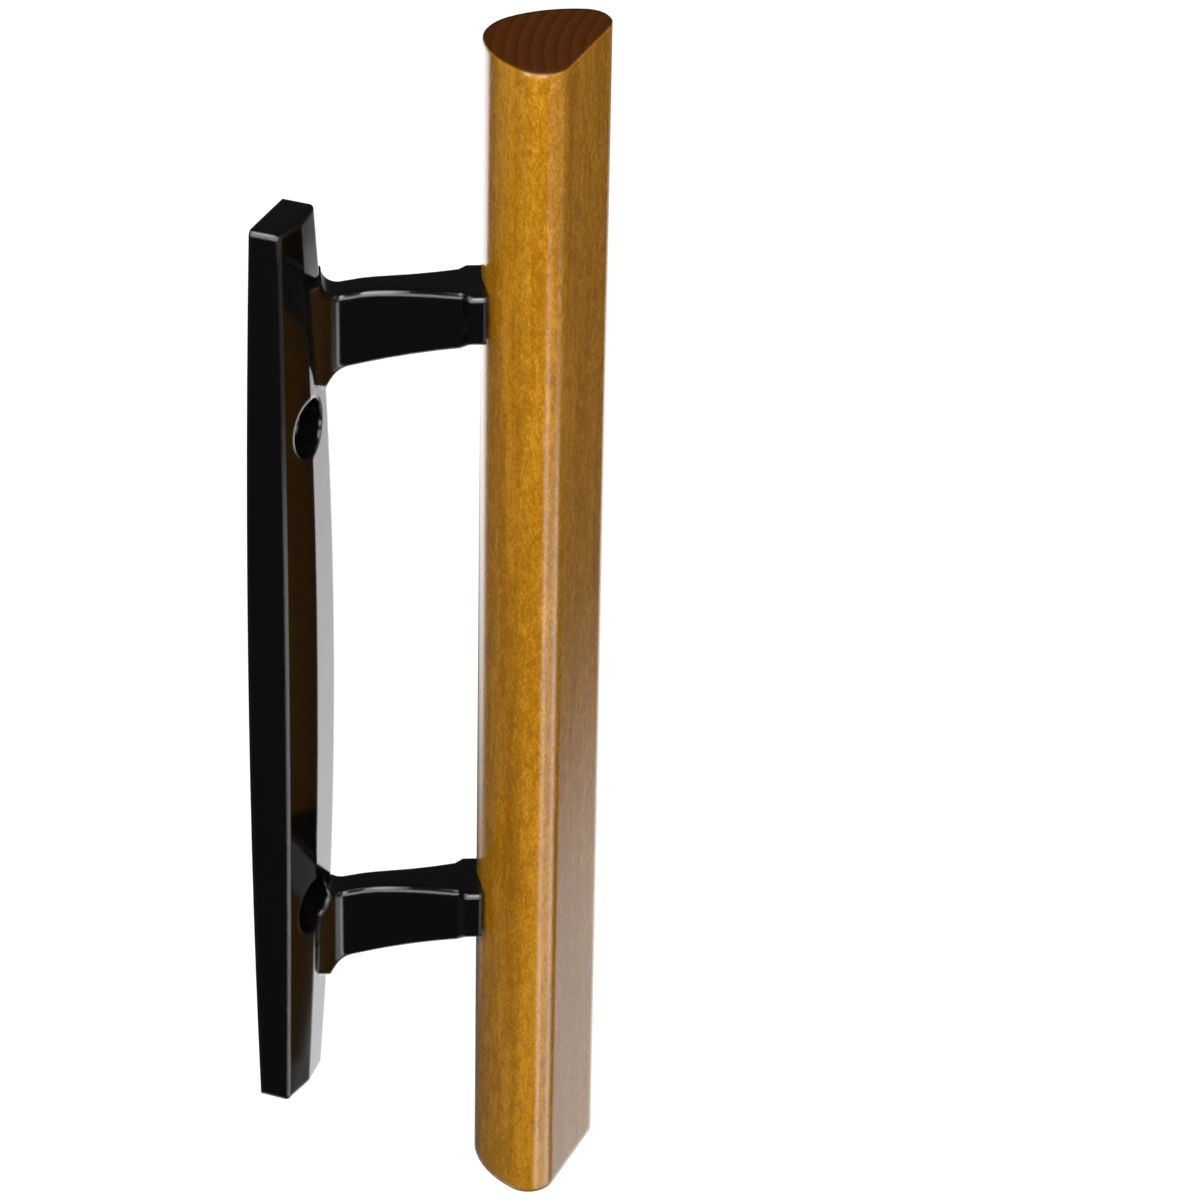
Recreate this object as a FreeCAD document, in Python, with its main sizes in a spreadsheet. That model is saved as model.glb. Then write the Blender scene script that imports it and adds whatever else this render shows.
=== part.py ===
import FreeCAD, Part
import Sketcher
import math
import os

# Sliding patio door handle: a cast base with two slanted arms that carry a wooden grip.
# Millimetres. The origin lies on the mounting plane, midway between the two mounting holes.
# +Z runs up along the door's edge, -Y points away from the door and +X is the side the grip leans to.

os.makedirs("parts", exist_ok=True)
doc = FreeCAD.newDocument("patio_door_handle")
sheet = doc.addObject("Spreadsheet::Sheet", "sizes")

sizes = {
    # base plate
    "holeSpacing": 100.0,
    "baseLength": 181.2,
    "baseMidWidth": 20.4,
    "baseEndWidth": 14.6,
    "ridgeHeight": 9.04,
    "nearSideHeight": 7.6,
    "farSideHeight": 8.0,
    "frontBow": 1700.0,
    "frontEdgeRadius": 0.9,
    "plateWall": 2.2,
    "coreDepth": 3.6,
    # mounting holes
    "recessRadius": 5.55,
    "recessFloor": 3.0,
    "boltHoleRadius": 2.75,
    "bossWall": 1.8,
    # arms
    "armAngle": 26.0,
    "armRootOffset": 9.84,
    "armRootHeight": 6.93,
    "upperArmDrop": 16.4,
    "lowerArmRise": 40.1,
    "armRootTall": 16.4,
    "armEndTall": 11.3,
    "armRootWidth": 6.2,
    "armEndWidth": 10.6,
    "armStraight": 6.0,
    "topDip": 1.3,
    "dipReach": 12.0,
    "armEndReach": 23.5,
    "armEdgeRadius": 1.2,
    "armBackReach": 10.5,
    # concave flares where an arm grows out of the base
    "nearFlareRadius": 3.5,
    "nearFlareAngle": 40.0,
    "nearFlareFoot": 1.6,
    "nearFlareWidth": 4.2,
    "topFlareRadius": 3.0,
    "topFlareFoot": -1.0,
    "bottomFlareRadius": 6.6,
    "bottomFlareFoot": -1.1,
    "lugMargin": 0.5,
    # pads at the grip
    "neckLength": 1.5,
    "padLength": 3.0,
    "padWidth": 13.6,
    "padTall": 9.9,
    # wooden grip
    "gripLength": 234.1,
    "gripMiddle": 3.6,
    "gripShift": 5.0856,
    "seatDepth": 2.0962,
    "gripDepth": 19.3,
    "noseRadius": 10.0,
    "noseAngle": 32.0,
    "flankWidth": 14.2,
    "flankDepth": 12.7,
    "gripEndChamfer": 0.3,
    "seatClearance": 0.1,
    # screws through the arms into the grip
    "screwDrop": 4.9,
    "shankRadius": 1.6,
    "screwHeadRadius": 2.5,
    "screwHeadHeight": 1.6,
    "intoWood": 14.0,
    "headSeat": 3.2,
    "tipLength": 2.5,
    "shankClearance": 0.15,
    "headClearance": 0.15,
    "pilotClearance": 0.05,
    "screwBossWall": 1.6,
    "headRounding": 0.9,
    "driveWidth": 0.8,
    "driveLength": 3.1,
    "driveDepth": 0.9,
    # how far a cutting tool runs past the surface that it opens
    "toolMargin": 1.0,
}
for row, (alias, number) in enumerate(sizes.items(), start=1):
    sheet.set(f"A{row}", alias)
    sheet.set(f"B{row}", str(number))
    sheet.setAlias(f"B{row}", alias)
doc.recompute()


def size(alias):
    return float(getattr(sheet, alias))


def originPlane(body, role):
    return next(plane for plane in body.Origin.OriginFeatures if plane.Role == role)


def newSketch(body, name, role):
    sketch = body.newObject("Sketcher::SketchObject", name)
    sketch.AttachmentSupport = [(originPlane(body, role), "")]
    sketch.MapMode = "FlatFace"
    return sketch


def bind(sketch, index, name, expression):
    sketch.renameConstraint(index, name)
    sketch.setExpression(f"Constraints.{name}", expression)


def lineTo(first, last):
    return Part.LineSegment(FreeCAD.Vector(*first, 0), FreeCAD.Vector(*last, 0))


def arcThrough(first, middle, last):
    return Part.Arc(*(FreeCAD.Vector(*point, 0) for point in (first, middle, last)))


# lines through (x, y, radius) corners, joined by tangent arcs where the radius is not nought
def roundedPath(corners):
    pieces = []
    last = None
    count = len(corners)
    firstPoint = None
    for index, (x, y, radius) in enumerate(corners):
        here = FreeCAD.Vector(x, y, 0)
        before = FreeCAD.Vector(*corners[index - 1][:2], 0) - here
        after = FreeCAD.Vector(*corners[(index + 1) % count][:2], 0) - here
        before.normalize()
        after.normalize()
        entry = leave = here
        if radius:
            half = before.getAngle(after) / 2
            entry = here + before * (radius / math.tan(half))
            leave = here + after * (radius / math.tan(half))
            bisector = before + after
            bisector.normalize()
            middle = here + bisector * (radius / math.sin(half) - radius)
        if last is not None:
            pieces.append(Part.LineSegment(last, entry))
        else:
            firstPoint = entry
        if radius:
            pieces.append(Part.Arc(entry, middle, leave))
        last = leave
    pieces.append(Part.LineSegment(last, firstPoint))
    return pieces


# the plate: a bowed outline, cut to a roof whose ridge bows too
def bowedOutline(midHalf, endHalf, halfLength):
    corners = [(endHalf, -halfLength), (endHalf, halfLength), (-endHalf, halfLength), (-endHalf, -halfLength)]
    return [
        arcThrough(corners[0], (midHalf, 0), corners[1]),
        lineTo(corners[1], corners[2]),
        arcThrough(corners[2], (-midHalf, 0), corners[3]),
        lineTo(corners[3], corners[0]),
    ]


def bowedBody(label, wall, depthAlias):
    body = doc.addObject("PartDesign::Body", label)
    outline = newSketch(body, f"{label}_outline", "XZ_Plane")
    halfLength = size("baseLength") / 2 - wall
    midHalf = size("baseMidWidth") / 2 - wall
    endHalf = size("baseEndWidth") / 2 - wall
    outline.addGeometry(bowedOutline(midHalf, endHalf, halfLength))
    lessWalls = " - 2 * sizes.plateWall" if wall else ""
    outline.addConstraint(Sketcher.Constraint("DistanceY", 0, 1, 0, 2, 2 * halfLength))
    bind(outline, 0, "length", f"sizes.baseLength{lessWalls}")
    outline.addConstraint(Sketcher.Constraint("DistanceX", 1, 2, 1, 1, 2 * endHalf))
    bind(outline, 1, "endWidth", f"sizes.baseEndWidth{lessWalls}")
    outline.addConstraint(Sketcher.Constraint("Coincident", 0, 2, 1, 1))
    outline.addConstraint(Sketcher.Constraint("Coincident", 1, 2, 2, 1))
    outline.addConstraint(Sketcher.Constraint("Coincident", 2, 2, 3, 1))
    outline.addConstraint(Sketcher.Constraint("Coincident", 3, 2, 0, 1))
    pad = body.newObject("PartDesign::Pad", f"{label}_pad")
    pad.Profile = outline
    pad.setExpression("Length", f"sizes.{depthAlias}")
    return body


plate = bowedBody("plate", 0, "ridgeHeight")
roof = newSketch(plate, "roof", "XY_Plane")
ridge = -size("ridgeHeight")
margin = size("toolMargin")
overhang = size("ridgeHeight")
spanX = size("baseMidWidth") / 2
fall = {side: (size("ridgeHeight") - size(f"{side}SideHeight")) / spanX for side in ("near", "far")}
reach = spanX + overhang
bowCentre = ridge + size("frontBow")
roofPoints = [(0, ridge), (reach, ridge + fall["far"] * reach), (reach, ridge - overhang),
              (-reach, ridge - overhang), (-reach, ridge + fall["near"] * reach)]
roof.addGeometry([lineTo(a, b) for a, b in zip(roofPoints, roofPoints[1:] + roofPoints[:1])])
roof.addGeometry(lineTo((-reach, bowCentre), (reach, bowCentre)), True)
cutRoof = plate.newObject("PartDesign::Groove", "cut_roof")
cutRoof.Profile = roof
cutRoof.ReferenceAxis = (roof, ["Axis0"])
cutRoof.Midplane = True
cutRoof.Angle = 2 * math.degrees(size("baseLength") / size("frontBow"))
doc.recompute()

# every edge of the roofed front, and the four upright corners of the plate
softened = plate.newObject("PartDesign::Fillet", "soft_edges")
edges = []
for index, edge in enumerate(cutRoof.Shape.Edges, start=1):
    box = edge.BoundBox
    atFront = box.YMax < -margin
    alongSide = box.ZLength > size("baseLength") / 2 and abs(edge.CenterOfMass.x) > size("baseEndWidth") / 4
    acrossEnd = box.ZLength < margin and box.XLength > margin
    upright = box.YLength > size("nearSideHeight") / 2 and max(box.ZLength, box.XLength) < margin
    if (atFront and (alongSide or acrossEnd)) or upright:
        edges.append(f"Edge{index}")
softened.Base = (cutRoof, edges)
softened.setExpression("Radius", "sizes.frontEdgeRadius")

# the arms: each has a straight root, a part that widens towards the grip, a neck and a square pad
angle = size("armAngle")
lean = math.radians(angle)
outward = FreeCAD.Vector(math.sin(lean), -math.cos(lean), 0)
across = FreeCAD.Vector(math.cos(lean), math.sin(lean), 0)
touch = 0.01  # points nearer to each other than this count as one
stations = (0.2, 0.45, 0.72, 1)  # shares of the widening part at which its section is drawn


def bottomAt(station):
    taper = (size("armRootTall") - size("armEndTall")) / size("armEndReach")
    return size("armEndTall") + taper * (size("armEndReach") - station)


# the top of an arm dips a little towards the base
def topAt(station):
    return -size("topDip") * max(0, 1 - station / size("dipReach")) ** 2


# the straight inner end of an arm with its concave flares: a side profile trimmed to a plan outline
def rootBlock(arm, label):
    back, free = size("armBackReach"), size("armStraight")
    side = newSketch(arm, f"{label}_side", "YZ_Plane")
    topFoot, bottomFoot = size("topFlareFoot"), size("bottomFlareFoot")
    high = topAt(topFoot) + size("topFlareRadius") + size("lugMargin")
    low = -bottomAt(bottomFoot) - size("bottomFlareRadius") - size("lugMargin")
    side.addGeometry(roundedPath([
        (back, high, 0), (-topFoot, high, 0), (-topFoot, topAt(topFoot), size("topFlareRadius")),
        (-free, topAt(free), 0),
        (-free, -bottomAt(free), 0), (-bottomFoot, -bottomAt(bottomFoot), size("bottomFlareRadius")),
        (-bottomFoot, low, 0), (back, low, 0),
    ]))
    block = arm.newObject("PartDesign::Pad", f"{label}_block")
    block.Profile = side
    block.Midplane = True
    half = size("armRootWidth") / 2
    foot = size("nearFlareFoot")
    wide = half + size("nearFlareWidth")
    depth = size("nearFlareWidth") / math.tan(math.radians(size("nearFlareAngle")))
    block.setExpression("Length", "sizes.armRootWidth + 2 * (sizes.nearFlareWidth + sizes.toolMargin)")
    plan = newSketch(arm, f"{label}_plan", "XY_Plane")
    outer, front, rear = wide + 3 * margin, -free - 3 * margin, back + 3 * margin
    plan.addGeometry(roundedPath([(-outer, rear, 0), (outer, rear, 0),
                                  (outer, front, 0), (-outer, front, 0)]))
    plan.addGeometry(roundedPath([
        (-half, -free - margin, 0), (-half, -foot, size("nearFlareRadius")), (-wide, depth - foot, 0),
        (-wide, back + margin, 0), (half, back + margin, 0), (half, -free - margin, 0),
    ]))
    trim = arm.newObject("PartDesign::Pocket", f"{label}_trim")
    trim.Profile = plan
    trim.Type = "ThroughAll"
    trim.Midplane = True
    doc.recompute()
    picked = []
    for index, edge in enumerate(trim.Shape.Edges, start=1):
        ends = [vertex.Point for vertex in edge.Vertexes]
        capped = all(point.z > high - touch for point in ends) or all(point.z < low + touch for point in ends)
        acrossArm = abs(ends[0].x - ends[-1].x) > half
        inside = any(-point.y < min(topFoot, bottomFoot) - touch for point in ends)
        atEnd = all(abs(-point.y - free) < touch for point in ends)
        if not (capped or acrossArm or inside or atEnd):
            picked.append(f"Edge{index}")
    rounded = arm.newObject("PartDesign::Fillet", f"{label}_soft")
    rounded.Base = (trim, picked)
    rounded.setExpression("Radius", "sizes.armEdgeRadius")
    # seen along the arm, the near flare ends level with the arm and its foot slopes down to the far side
    foreland = newSketch(arm, f"{label}_foreland", "XZ_Plane")
    foreland.addGeometry(roundedPath([(-outer, margin - bottomAt(0), 0), (-wide, -bottomAt(0), 0),
                                      (half, low, 0), (half, low - margin, 0), (-outer, low - margin, 0)]))
    slope = arm.newObject("PartDesign::Pocket", f"{label}_slope")
    slope.Profile = foreland
    slope.Type = "ThroughAll"
    slope.Midplane = True
    doc.recompute()
    return next((slope, [f"Face{index}"]) for index, face in enumerate(slope.Shape.Faces, start=1)
                if abs(-face.CenterOfMass.y - free) < touch)


def armSection(arm, name, station):
    rootHalf, endHalf, padHalf = (size(name) / 2 for name in ("armRootWidth", "armEndWidth", "padWidth"))
    straight, armEnd = size("armStraight"), size("armEndReach")
    radius = size("armEdgeRadius")
    if station > armEnd:
        half, top, bottom = padHalf, 0, size("padTall")
    else:
        opening = (station - straight) / (armEnd - straight)
        half = rootHalf + (endHalf - rootHalf) * opening ** 2
        top, bottom = topAt(station), bottomAt(station)
    section = newSketch(arm, name, "XZ_Plane")
    section.AttachmentOffset = FreeCAD.Placement(FreeCAD.Vector(0, 0, station), FreeCAD.Rotation())
    section.addGeometry(roundedPath([(-half, -bottom, radius), (half, -bottom, radius),
                                     (half, top, radius), (-half, top, radius)]))
    return section


def loftThrough(arm, name, start, places, ruled):
    loft = arm.newObject("PartDesign::AdditiveLoft", name)
    loft.Profile = start
    loft.Sections = [armSection(arm, f"{name}_{index}", place) for index, place in enumerate(places)]
    loft.Ruled = ruled


def buildArm(label, top):
    arm = doc.addObject("PartDesign::Body", label)
    arm.Placement = FreeCAD.Placement(FreeCAD.Vector(), FreeCAD.Rotation(FreeCAD.Vector(0, 0, 1), angle))
    arm.setExpression("Placement.Rotation.Angle", "sizes.armAngle")
    arm.setExpression("Placement.Base.x", "sizes.armRootOffset")
    arm.setExpression("Placement.Base.y", "-sizes.armRootHeight")
    arm.setExpression("Placement.Base.z", top)
    armEnd, straight = size("armEndReach"), size("armStraight")
    neck = armEnd + size("neckLength")
    rootEnd = rootBlock(arm, label)
    run = [straight + (armEnd - straight) * share for share in stations]
    loftThrough(arm, f"{label}_arm", rootEnd, run, False)
    padStart = armSection(arm, f"{label}_pad_start", armEnd)
    loftThrough(arm, f"{label}_pad", padStart, (neck, neck + size("padLength")), True)
    doc.recompute()
    return arm


upperArm = buildArm("upper_arm", "sizes.baseLength / 2 - sizes.upperArmDrop")
lowerArm = buildArm("lower_arm", "sizes.lowerArmRise - sizes.baseLength / 2")
cast = doc.addObject("Part::MultiFuse", "cast_blank")
cast.Shapes = [plate, upperArm, lowerArm]

# what is taken out of the casting: the hollow back, the screw recesses and the holes
turnToScrew = FreeCAD.Rotation(FreeCAD.Vector(0, 0, 1), outward)


# point on a screw's axis at a distance in front of the mounting plane
def screwPoint(arm, depth):
    along = (depth - size("armRootHeight")) / math.cos(lean)
    point = arm.Placement.Base + outward * along
    point.z -= size("screwDrop")
    return point


def cylinder(name, radius, height, point, turn):
    tool = doc.addObject("Part::Cylinder", name)
    tool.Radius = radius
    tool.Height = height
    tool.Placement = FreeCAD.Placement(point, turn)
    return tool


forward = FreeCAD.Rotation(FreeCAD.Vector(1, 0, 0), 90)
arms = {"upper": upperArm, "lower": lowerArm}
holeHeights = {"upper": size("holeSpacing") / 2, "lower": -size("holeSpacing") / 2}
core = bowedBody("core", size("plateWall"), "coreDepth")
bosses = []
tools = []
for name, arm in arms.items():
    hole = FreeCAD.Vector(0, margin, holeHeights[name])
    recessStart = FreeCAD.Vector(0, -size("recessFloor"), holeHeights[name])
    boltHole = cylinder(f"{name}_bolt_hole", 1, size("ridgeHeight"), hole, forward)
    boltHole.setExpression("Radius", "sizes.boltHoleRadius")
    recess = cylinder(f"{name}_recess", 1, size("ridgeHeight"), recessStart, forward)
    recess.setExpression("Radius", "sizes.recessRadius")
    seat = screwPoint(arm, size("headSeat"))
    behindSeat = 2 * size("headSeat")
    pocket = cylinder(f"{name}_head_pocket", 1, behindSeat, seat - outward * behindSeat, turnToScrew)
    pocket.setExpression("Radius", "sizes.screwHeadRadius + sizes.headClearance")
    shaftHole = cylinder(f"{name}_shank_hole", 1, 1, seat - outward * margin, turnToScrew)
    shaftHole.setExpression("Height", "2 * sizes.armEndReach")
    shaftHole.setExpression("Radius", "sizes.shankRadius + sizes.shankClearance")
    tools += [boltHole, recess, pocket, shaftHole]
    boltBoss = cylinder(f"{name}_bolt_boss", 1, size("coreDepth") + 2 * margin, hole, forward)
    boltBoss.setExpression("Radius", "sizes.recessRadius + sizes.bossWall")
    besideScrew = screwPoint(arm, size("headSeat") / 2)
    besideScrew.y = margin
    screwBoss = cylinder(f"{name}_screw_boss", 1, size("coreDepth") + 2 * margin, besideScrew, forward)
    screwBoss.setExpression("Radius", "sizes.screwHeadRadius + sizes.screwBossWall")
    bosses += [boltBoss, screwBoss]

hollow = doc.addObject("Part::Cut", "hollow")
hollow.Base = core
hollow.Tool = doc.addObject("Part::MultiFuse", "bosses")
hollow.Tool.Shapes = bosses
behind = doc.addObject("Part::Box", "behind_plane")
for side in ("Length", "Width", "Height"):
    behind.setExpression(side, "sizes.baseLength")
behind.Placement.Base = FreeCAD.Vector(-size("baseLength") / 2, 0, -size("baseLength") / 2)
removed = doc.addObject("Part::MultiFuse", "removed")
removed.Shapes = [hollow, behind] + tools
casting = doc.addObject("Part::Cut", "base_casting")
casting.Base = cast
casting.Tool = removed
doc.recompute()

# the wooden grip: rounded nose towards the plate, flat front, two seats for the pads
grip = doc.addObject("PartDesign::Body", "grip_blank")
padFront = "(sizes.armEndReach + sizes.neckLength + sizes.padLength)"
gripPlace = {
    "x": f"sizes.armRootOffset + {padFront} * sin(sizes.armAngle) + sizes.gripShift",
    "y": f"sizes.seatDepth - sizes.armRootHeight - {padFront} * cos(sizes.armAngle)",
    "z": "sizes.gripMiddle",
}
for axis, expression in gripPlace.items():
    grip.setExpression(f"Placement.Base.{axis}", expression)
section = newSketch(grip, "grip_section", "XY_Plane")
nose, noseTurn = size("noseRadius"), math.radians(size("noseAngle"))
noseEnd = (nose * math.sin(noseTurn), nose * (1 - math.cos(noseTurn)))
flankEnd = (size("flankWidth"), size("flankDepth"))
depth = size("gripDepth")
run, rise = flankEnd[0] - noseEnd[0], flankEnd[1] - noseEnd[1]
chordTurn = math.atan2(rise, run)
halfTurn = chordTurn - noseTurn
flankRadius = math.hypot(run, rise) / (2 * math.sin(halfTurn))
sag = flankRadius * (1 - math.cos(halfTurn))
flankMiddle = ((noseEnd[0] + flankEnd[0]) / 2 + sag * math.sin(chordTurn),
               (noseEnd[1] + flankEnd[1]) / 2 - sag * math.cos(chordTurn))
endTurn = chordTurn + halfTurn
cornerRadius = (depth - flankEnd[1]) / (1 + math.cos(endTurn))
cornerCentre = (flankEnd[0] - cornerRadius * math.sin(endTurn), depth - cornerRadius)
middleTurn = (endTurn + math.pi) / 2
cornerMiddle = (cornerCentre[0] + cornerRadius * math.sin(middleTurn),
                cornerCentre[1] - cornerRadius * math.cos(middleTurn))
frontEnd = (cornerCentre[0], depth)


def sideOf(sign, point):
    return (sign * point[0], -point[1])


section.addGeometry([
    arcThrough(sideOf(-1, noseEnd), (0, 0), sideOf(1, noseEnd)),
    arcThrough(sideOf(1, noseEnd), sideOf(1, flankMiddle), sideOf(1, flankEnd)),
    arcThrough(sideOf(1, flankEnd), sideOf(1, cornerMiddle), sideOf(1, frontEnd)),
    lineTo(sideOf(1, frontEnd), sideOf(-1, frontEnd)),
    arcThrough(sideOf(-1, frontEnd), sideOf(-1, cornerMiddle), sideOf(-1, flankEnd)),
    arcThrough(sideOf(-1, flankEnd), sideOf(-1, flankMiddle), sideOf(-1, noseEnd)),
])
length = grip.newObject("PartDesign::Pad", "grip_length")
length.Profile = section
length.Midplane = True
length.setExpression("Length", "sizes.gripLength")
doc.recompute()
eased = grip.newObject("PartDesign::Chamfer", "eased_ends")
ends = [f"Edge{index}" for index, edge in enumerate(length.Shape.Edges, start=1)
        if edge.BoundBox.ZLength < margin]
eased.Base = (length, ends)
eased.setExpression("Size", "sizes.gripEndChamfer")

padFace = size("armEndReach") + size("neckLength") + size("padLength")
screwReach = padFace + (size("armRootHeight") - size("headSeat")) / math.cos(lean) + size("intoWood")
seats = []
alongArm = FreeCAD.Rotation(FreeCAD.Vector(0, 0, 1), angle)
for name, arm in arms.items():
    gap = size("seatClearance")
    seat = doc.addObject("Part::Box", f"{name}_seat")
    seat.setExpression("Length", "sizes.padWidth + 2 * sizes.seatClearance")
    seat.setExpression("Width", "sizes.neckLength + sizes.padLength")
    seat.setExpression("Height", "sizes.padTall + 2 * sizes.seatClearance")
    doc.recompute()
    corner = arm.Placement.Base + outward * padFace - across * (seat.Length.Value / 2)
    corner.z -= size("padTall") + gap
    seat.Placement = FreeCAD.Placement(corner, alongArm)
    start = screwPoint(arm, size("headSeat"))
    pilot = cylinder(f"{name}_pilot", 1, screwReach + margin, start, turnToScrew)
    pilot.setExpression("Radius", "sizes.shankRadius + sizes.pilotClearance")
    seats += [seat, pilot]
milled = doc.addObject("Part::MultiFuse", "milled")
milled.Shapes = seats
woodGrip = doc.addObject("Part::Cut", "wood_grip")
woodGrip.Base = grip
woodGrip.Tool = milled
doc.recompute()

# the two hidden screws that hold the grip on
screwBodies = []
for name, arm in arms.items():
    body = doc.addObject("PartDesign::Body", f"{name}_screw")
    body.Placement = FreeCAD.Placement(screwPoint(arm, size("headSeat")), turnToScrew)
    half = newSketch(body, f"{name}_screw_profile", "XZ_Plane")
    head, shank, tip = size("screwHeadRadius"), size("shankRadius"), screwReach
    shoulder = tip - size("tipLength")
    half.addGeometry(roundedPath([
        (0, -size("screwHeadHeight"), 0),
        (head, -size("screwHeadHeight"), size("headRounding")),
        (head, 0, 0),
        (shank, 0, 0),
        (shank, shoulder, 0),
        (0, tip, 0),
    ]))
    turned = body.newObject("PartDesign::Revolution", f"{name}_screw_turned")
    turned.Profile = half
    turned.ReferenceAxis = (half, ["V_Axis"])
    turned.Angle = 360
    doc.recompute()
    drive = newSketch(body, f"{name}_screw_drive", "XY_Plane")
    drive.AttachmentOffset = FreeCAD.Placement(
        FreeCAD.Vector(0, 0, -size("screwHeadHeight")), FreeCAD.Rotation())
    wide, thin = size("driveLength") / 2, size("driveWidth") / 2
    cross = [(wide, -thin), (wide, thin), (thin, thin), (thin, wide), (-thin, wide), (-thin, thin),
             (-wide, thin), (-wide, -thin), (-thin, -thin), (-thin, -wide), (thin, -wide), (thin, -thin)]
    drive.addGeometry(roundedPath([(x, y, 0) for x, y in cross]))
    slot = body.newObject("PartDesign::Pocket", f"{name}_screw_slot")
    slot.Profile = drive
    slot.Reversed = True
    slot.setExpression("Length", "sizes.driveDepth")
    screwBodies.append(body)
gripScrews = doc.addObject("Part::Compound", "grip_screws")
gripScrews.Links = screwBodies
doc.recompute()

nodes = {"base_casting": casting, "wood_grip": woodGrip, "grip_screws": gripScrews}
for item in doc.Objects:
    if "Invalid" in item.State or "Error" in item.State:
        raise RuntimeError(f"{item.Label} did not build: {item.State}")
for label, item in nodes.items():
    item.Label = label
    if item.Shape.isNull() or not item.Shape.isValid():
        raise RuntimeError(f"{label} has no valid shape")
    print(label, len(item.Shape.Solids), "solids", round(item.Shape.Volume), "mm3")
    item.Shape.exportStep(f"parts/{label}.step")
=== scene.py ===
import math
import bpy
from mathutils import Matrix, Vector

# Sliding patio door handle in the studio: black enamelled casting and a varnished wooden grip.
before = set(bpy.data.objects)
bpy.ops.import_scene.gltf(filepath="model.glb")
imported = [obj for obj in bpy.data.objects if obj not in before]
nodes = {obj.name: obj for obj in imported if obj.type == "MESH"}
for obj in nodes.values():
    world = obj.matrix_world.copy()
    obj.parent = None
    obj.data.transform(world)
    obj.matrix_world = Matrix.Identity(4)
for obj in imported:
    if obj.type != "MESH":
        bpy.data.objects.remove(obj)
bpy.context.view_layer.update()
scene = bpy.context.scene
scene.view_settings.view_transform = "Standard"
print("frame loaded")


def linear(hexColour):
    channels = [int(hexColour[i:i + 2], 16) / 255 for i in (1, 3, 5)]
    return [c / 12.92 if c <= 0.04045 else ((c + 0.055) / 1.055) ** 2.4 for c in channels] + [1]


def addNode(tree, kind, settings=None, **links):
    # settings are node properties, links are input values or sockets
    node = tree.nodes.new(kind)
    for name, value in (settings or {}).items():
        setattr(node, name, value)
    for name, value in links.items():
        key = int(name[1:]) if name[0] == "i" and name[1:].isdigit() else name.replace("_", " ")
        if isinstance(value, bpy.types.NodeSocket):
            tree.links.new(value, node.inputs[key])
        else:
            node.inputs[key].default_value = value
    return node


def calc(tree, operation, first, second=0.0, third=0.0):
    return addNode(tree, "ShaderNodeMath", {"operation": operation}, i0=first, i1=second, i2=third).outputs[0]


def blend(tree, factor, first, second, mode="MIX"):
    node = addNode(tree, "ShaderNodeMix", {"data_type": "RGBA", "blend_type": mode}, i0=factor, i6=first, i7=second)
    return node.outputs[2]


def spread(tree, value, low, high, toLow=0.0, toHigh=1.0):
    # smooth change from toLow to toHigh as value goes from low to high
    node = addNode(tree, "ShaderNodeMapRange", {"interpolation_type": "SMOOTHSTEP"},
                   i0=value, i1=low, i2=high, i3=toLow, i4=toHigh)
    return node.outputs[0]


def millimetres(tree, stretch=(1, 1, 1)):
    coords = addNode(tree, "ShaderNodeTexCoord").outputs["Object"]
    scale = tuple(1000 * s for s in stretch)
    return addNode(tree, "ShaderNodeVectorMath", {"operation": "MULTIPLY"}, i0=coords, i1=scale).outputs[0]


def noise(tree, vector, scale, detail=2, roughness=0.5, distortion=0.0):
    node = addNode(tree, "ShaderNodeTexNoise", None, Vector=vector, Scale=scale, Detail=detail,
                   Roughness=roughness, Distortion=distortion)
    return node.outputs["Fac"]


def newMaterial(name):
    material = bpy.data.materials.new(name)
    material.use_nodes = True
    tree = material.node_tree
    shader = tree.nodes["Principled BSDF"]
    return material, tree, shader


def dress(obj, material):
    obj.data.materials.clear()
    obj.data.materials.append(material)


# enamel: deep black gloss with the faint waviness of sprayed paint over a casting
enamel = {
    "colour": "#070606",
    "roughness": 0.09,
    "edgeRadius": 0.0011,  # the paint rounds every edge of the casting
    "waveSize": 0.09,  # per mm
    "waveDepth": 0.00004,
    "grainSize": 1.6,
    "grainDepth": 0.000002,
}


def makeEnamel():
    material, tree, shader = newMaterial("gloss_black_enamel")
    mm = millimetres(tree)
    wave = noise(tree, mm, enamel["waveSize"], 1)
    grain = noise(tree, mm, enamel["grainSize"], 3)
    shader.inputs["Base Color"].default_value = linear(enamel["colour"])
    shader.inputs["Roughness"].default_value = enamel["roughness"]
    softEdge = addNode(tree, "ShaderNodeBevel", {"samples": 6}, Radius=enamel["edgeRadius"])
    bump = addNode(tree, "ShaderNodeBump", None, Height=wave, Distance=enamel["waveDepth"],
                   Normal=softEdge.outputs[0])
    fine = addNode(tree, "ShaderNodeBump", None, Height=grain, Distance=enamel["grainDepth"],
                   Normal=bump.outputs[0])
    tree.links.new(fine.outputs[0], shader.inputs["Normal"])
    return material


# wood: honey maple under amber varnish, fine vertical flecks, darker end grain
wood = {
    "pale": "#bc8322",
    "middle": "#a67014",
    "deep": "#8e5b0a",
    "endGrain": "#3c1f0a",
    "endPale": "#552d11",
    "edgeRadius": 0.0018,
    "poreDepth": 0.000015,
    "middleHeight": 3.6,
    "rim": (116.5, 116.95),  # a thin band at the cut edges takes the end-grain colour and is nearly bare of coat
    "ringStep": 2.3,
    "ringCentre": (41.0, -94.0, 0.0),
}


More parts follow.
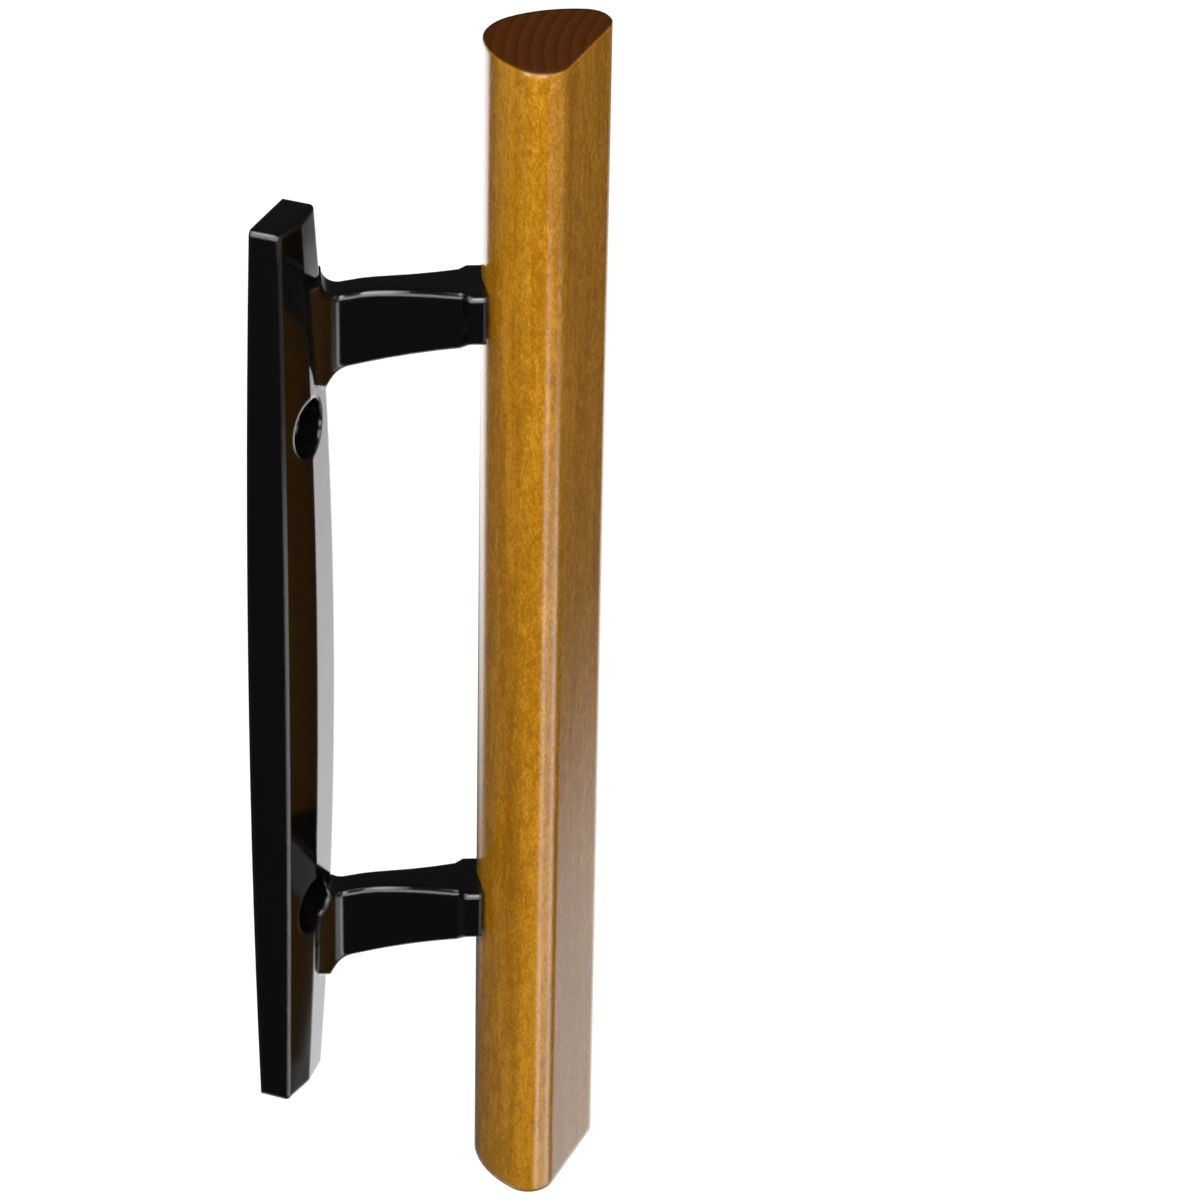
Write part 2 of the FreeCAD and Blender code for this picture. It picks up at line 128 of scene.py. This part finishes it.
def makeWood():
    material, tree, shader = newMaterial("amber_varnished_maple")
    mm = millimetres(tree)
    along = millimetres(tree, (1, 1, 0.055))
    fleckSpace = millimetres(tree, (1, 1, 0.4))
    broad = noise(tree, along, 0.09, 2, 0.5, 0.6)
    streak = noise(tree, along, 0.55, 3, 0.6, 0.4)
    fleck = noise(tree, fleckSpace, 0.62, 3, 0.62, 1.1)
    speckle = noise(tree, millimetres(tree, (1, 1, 0.7)), 2.4, 2, 0.6)
    tone = calc(tree, "ADD", calc(tree, "MULTIPLY", broad, 0.28), calc(tree, "MULTIPLY", streak, 0.14))
    tone = calc(tree, "ADD", tone, calc(tree, "MULTIPLY", fleck, 0.28))
    tone = calc(tree, "ADD", tone, calc(tree, "MULTIPLY", speckle, 0.3))
    ramp = addNode(tree, "ShaderNodeValToRGB", None, Fac=spread(tree, tone, 0.39, 0.61))
    stops = ramp.color_ramp.elements
    stops[0].color, stops[1].color = linear(wood["deep"]), linear(wood["pale"])
    stops.new(0.5).color = linear(wood["middle"])
    # growth rings seen on the cut ends
    offset = addNode(tree, "ShaderNodeVectorMath", {"operation": "SUBTRACT"}, i0=mm, i1=wood["ringCentre"])
    flat = addNode(tree, "ShaderNodeVectorMath", {"operation": "MULTIPLY"}, i0=offset.outputs[0], i1=(1, 1, 0))
    radius = addNode(tree, "ShaderNodeVectorMath", {"operation": "LENGTH"}, i0=flat.outputs[0]).outputs[1]
    ring = calc(tree, "FRACT", calc(tree, "DIVIDE", calc(tree, "ADD", radius, calc(tree, "MULTIPLY", fleck, 1.5)),
                                    wood["ringStep"]))
    endColour = blend(tree, calc(tree, "MULTIPLY", ring, 0.6), linear(wood["endGrain"]), linear(wood["endPale"]))
    normal = addNode(tree, "ShaderNodeTexCoord").outputs["Normal"]
    upDown = addNode(tree, "ShaderNodeSeparateXYZ", None, Vector=normal).outputs[2]
    onEnd = spread(tree, calc(tree, "ABSOLUTE", upDown), 0.85, 0.95)
    height = addNode(tree, "ShaderNodeSeparateXYZ", None, Vector=mm).outputs[2]
    rim = spread(tree, calc(tree, "ABSOLUTE", calc(tree, "SUBTRACT", height, wood["middleHeight"])), *wood["rim"])
    onEnd = calc(tree, "MAXIMUM", onEnd, rim)
    tree.links.new(blend(tree, onEnd, ramp.outputs[0], endColour), shader.inputs["Base Color"])
    shader.inputs["Roughness"].default_value = 0.5
    shader.inputs["Specular IOR Level"].default_value = 0.0
    tree.links.new(calc(tree, "MULTIPLY_ADD", onEnd, -0.9, 1.0), shader.inputs["Coat Weight"])  # bare ends
    shader.inputs["Coat Roughness"].default_value = 0.1
    softEdge = addNode(tree, "ShaderNodeBevel", {"samples": 6}, Radius=wood["edgeRadius"])
    pores = calc(tree, "ADD", speckle, calc(tree, "MULTIPLY", fleck, 0.4))
    bump = addNode(tree, "ShaderNodeBump", None, Height=pores, Distance=wood["poreDepth"],
                   Normal=softEdge.outputs[0])
    tree.links.new(bump.outputs[0], shader.inputs["Normal"])
    tree.links.new(bump.outputs[0], shader.inputs["Coat Normal"])
    return material


# zinc: bright plated screws, seen only from behind
def makeZinc():
    material, tree, shader = newMaterial("bright_zinc")
    shader.inputs["Base Color"].default_value = linear("#c9c8c2")
    shader.inputs["Metallic"].default_value = 1
    shader.inputs["Roughness"].default_value = 0.28
    return material


dress(nodes["base_casting"], makeEnamel())
dress(nodes["wood_grip"], makeWood())
dress(nodes["grip_screws"], makeZinc())
print("materials done")


# studio: white surround, pale floor well below, soft lamps
studio = {
    "surround": 0.15,  # light from all round
    "gloom": 0.05,  # what polished surfaces see away from the lamps and the bright floor
    "floorHeight": -0.32,
    "sheen": 1.85,  # bright sheet beyond the handle, with a straight slanted edge
    "sheenStart": (-0.035, 0.015),
    "sheetEdge": (0.2, 0.215),
    "edgeLean": -0.04,
    "sheetEnd": (0.72, 0.98),
    # lanes of light on the floor in front, seen as lines on upright edges: strength, slopes from the front, fading
    "lanes": ((2.0, 0.2, 0.3, 0.45, 0.6, 0.6, 0.8), (1.9, -0.5, -0.3, 0.5, 0.85, 0.6, 0.8),
              (9.0, -0.59, -0.54, -0.44, -0.39, 0.68, 0.82)),
    "horizon": 10.0,  # pale wall behind the camera, seen in rounded upper edges
}


def makeWorld():
    world = bpy.data.worlds.new("white_surround")
    scene.world = world
    world.use_nodes = True
    tree = world.node_tree
    background = tree.nodes["Background"]
    rays = addNode(tree, "ShaderNodeLightPath")
    axes = addNode(tree, "ShaderNodeSeparateXYZ", None,
                   Vector=addNode(tree, "ShaderNodeTexCoord").outputs["Generated"]).outputs
    wall = calc(tree, "MULTIPLY", spread(tree, axes[2], -0.1, -0.03), spread(tree, axes[2], 0.12, 0.3, 1.0, 0.0))
    wall = calc(tree, "MULTIPLY", wall, spread(tree, axes[0], -0.7, -0.45, 1.0, 0.0))
    seen = calc(tree, "MULTIPLY_ADD", wall, studio["horizon"], studio["gloom"])
    level = spread(tree, rays.outputs["Is Glossy Ray"], 0.0, 1.0, studio["surround"], seen)
    level = calc(tree, "MAXIMUM", level, rays.outputs["Is Camera Ray"])
    tree.links.new(level, background.inputs["Strength"])
    background.inputs["Color"].default_value = (1, 1, 1, 1)


def makeFloor():
    bpy.ops.mesh.primitive_plane_add(size=8, location=(0, 0, studio["floorHeight"]))
    floor = bpy.context.object
    floor.name = "studio_floor"
    material, tree, shader = newMaterial("pale_floor")
    rays = addNode(tree, "ShaderNodeLightPath")
    shader.inputs["Base Color"].default_value = (0.2, 0.2, 0.2, 1)
    shader.inputs["Roughness"].default_value = 0.9
    shader.inputs["Specular IOR Level"].default_value = 0.0
    shader.inputs["Emission Color"].default_value = (1, 1, 1, 1)
    tree.links.new(calc(tree, "MULTIPLY", rays.outputs["Is Camera Ray"], 0.95), shader.inputs["Emission Strength"])
    # what polished surfaces see in the floor: a bright area beyond the handle, a lane in front, else gloom
    place = addNode(tree, "ShaderNodeNewGeometry").outputs["Position"]
    axes = addNode(tree, "ShaderNodeSeparateXYZ", None, Vector=place).outputs
    front = calc(tree, "MULTIPLY", axes[1], -1)
    begins = spread(tree, calc(tree, "MULTIPLY_ADD", axes[0], -0.8, front), *studio["sheenStart"], 1.0, 0.0)
    across = calc(tree, "MULTIPLY_ADD", axes[0], studio["edgeLean"], front)
    inside = spread(tree, across, *studio["sheetEdge"], 1.0, 0.0)
    inside = calc(tree, "MULTIPLY", inside, spread(tree, axes[0], *studio["sheetEnd"], 1.0, 0.15))
    corner = calc(tree, "MULTIPLY_ADD", axes[0], -0.2, front)
    behind = calc(tree, "MAXIMUM", spread(tree, front, -0.2, -0.03), spread(tree, axes[0], 0.5, 0.7, 0.03, 0.8))
    side = calc(tree, "MULTIPLY_ADD", front, 0.5, axes[0])
    side = calc(tree, "MULTIPLY", spread(tree, side, -0.02, 0.08), spread(tree, front, -0.52, -0.24, 1.4, 0.0))
    behind = calc(tree, "MAXIMUM", behind, side)
    fades = calc(tree, "MULTIPLY", spread(tree, corner, 0.05, 0.11, 1.0, 0.55), behind)
    sheen = calc(tree, "MULTIPLY", begins, calc(tree, "MULTIPLY", inside, fades))
    level = calc(tree, "MULTIPLY_ADD", sheen, studio["sheen"], studio["gloom"])
    turned = calc(tree, "DIVIDE", axes[0], front)
    inFront = spread(tree, front, 0.15, 0.25)
    for strength, a, b, c, d, near, far in studio["lanes"]:
        lane = calc(tree, "MULTIPLY", spread(tree, turned, a, b), spread(tree, turned, c, d, 1.0, 0.0))
        lane = calc(tree, "MULTIPLY", lane, spread(tree, front, near, far, 1.0, 0.15))
        level = calc(tree, "MULTIPLY_ADD", calc(tree, "MULTIPLY", lane, inFront), strength, level)
    glow = addNode(tree, "ShaderNodeEmission", None, Strength=level)
    mix = addNode(tree, "ShaderNodeMixShader", None, i0=rays.outputs["Is Glossy Ray"],
                  i1=shader.outputs[0], i2=glow.outputs[0])
    tree.links.new(mix.outputs[0], tree.nodes["Material Output"].inputs["Surface"])
    floor.data.materials.append(material)


def addLamp(name, direction, distance, size, power, target=(0.01, -0.02, 0.0), lights=True, shines=True):
    data = bpy.data.lights.new(name, "AREA")
    data.shape = "RECTANGLE"
    data.size, data.size_y = size
    data.energy = power
    lamp = bpy.data.objects.new(name, data)
    lamp.visible_diffuse = lights
    lamp.visible_glossy = shines
    scene.collection.objects.link(lamp)
    aim = Vector(direction).normalized()
    lamp.location = Vector(target) + aim * distance
    lamp.rotation_euler = aim.to_track_quat("Z", "Y").to_euler()
    return lamp


makeWorld()
makeFloor()
addLamp("shine_box", (-0.5, 0.34, 0.79), 0.9, (0.45, 0.45), 8, lights=False)
addLamp("left_box", (-0.85, 0.0, 0.5), 0.8, (0.35, 0.35), 3.6, shines=False)
addLamp("camera_box", (-0.8, -0.5, 0.75), 0.75, (0.35, 0.35), 6.4, (0.02, -0.03, 0.07))
addLamp("fill_box", (1.0, 0.15, 0.4), 1.0, (0.4, 0.4), 3, shines=False)
addLamp("front_box", (0.1, -1.0, 0.5), 1.1, (0.5, 0.5), 2.1)
print("studio done")

# camera at the photograph's angle: degrees, lens in pixels of a 1200 frame, offsets in mm
shot = {"azimuth": -68.532, "elevation": 29.761, "roll": 1.116, "focal": 5817.86,
        "right": -59.641, "up": -11.390, "distance": 1058.212}


def makeCamera():
    azimuth, elevation, roll = (math.radians(shot[key]) for key in ("azimuth", "elevation", "roll"))
    back = Vector((math.sin(azimuth) * math.cos(elevation), -math.cos(azimuth) * math.cos(elevation),
                   math.sin(elevation)))
    level = Vector((math.cos(azimuth), math.sin(azimuth), 0))
    upright = back.cross(level)
    right = math.cos(roll) * level + math.sin(roll) * upright
    up = math.cos(roll) * upright - math.sin(roll) * level
    centre = (back * shot["distance"] - right * shot["right"] - up * shot["up"]) / 1000
    data = bpy.data.cameras.new("camera")
    data.lens = shot["focal"] * 36 / 1200
    data.clip_end = 50
    camera = bpy.data.objects.new("camera", data)
    scene.collection.objects.link(camera)
    camera.matrix_world = Matrix((
        (right.x, up.x, back.x, centre.x),
        (right.y, up.y, back.y, centre.y),
        (right.z, up.z, back.z, centre.z),
        (0, 0, 0, 1)))
    scene.camera = camera


makeCamera()
print("camera done")
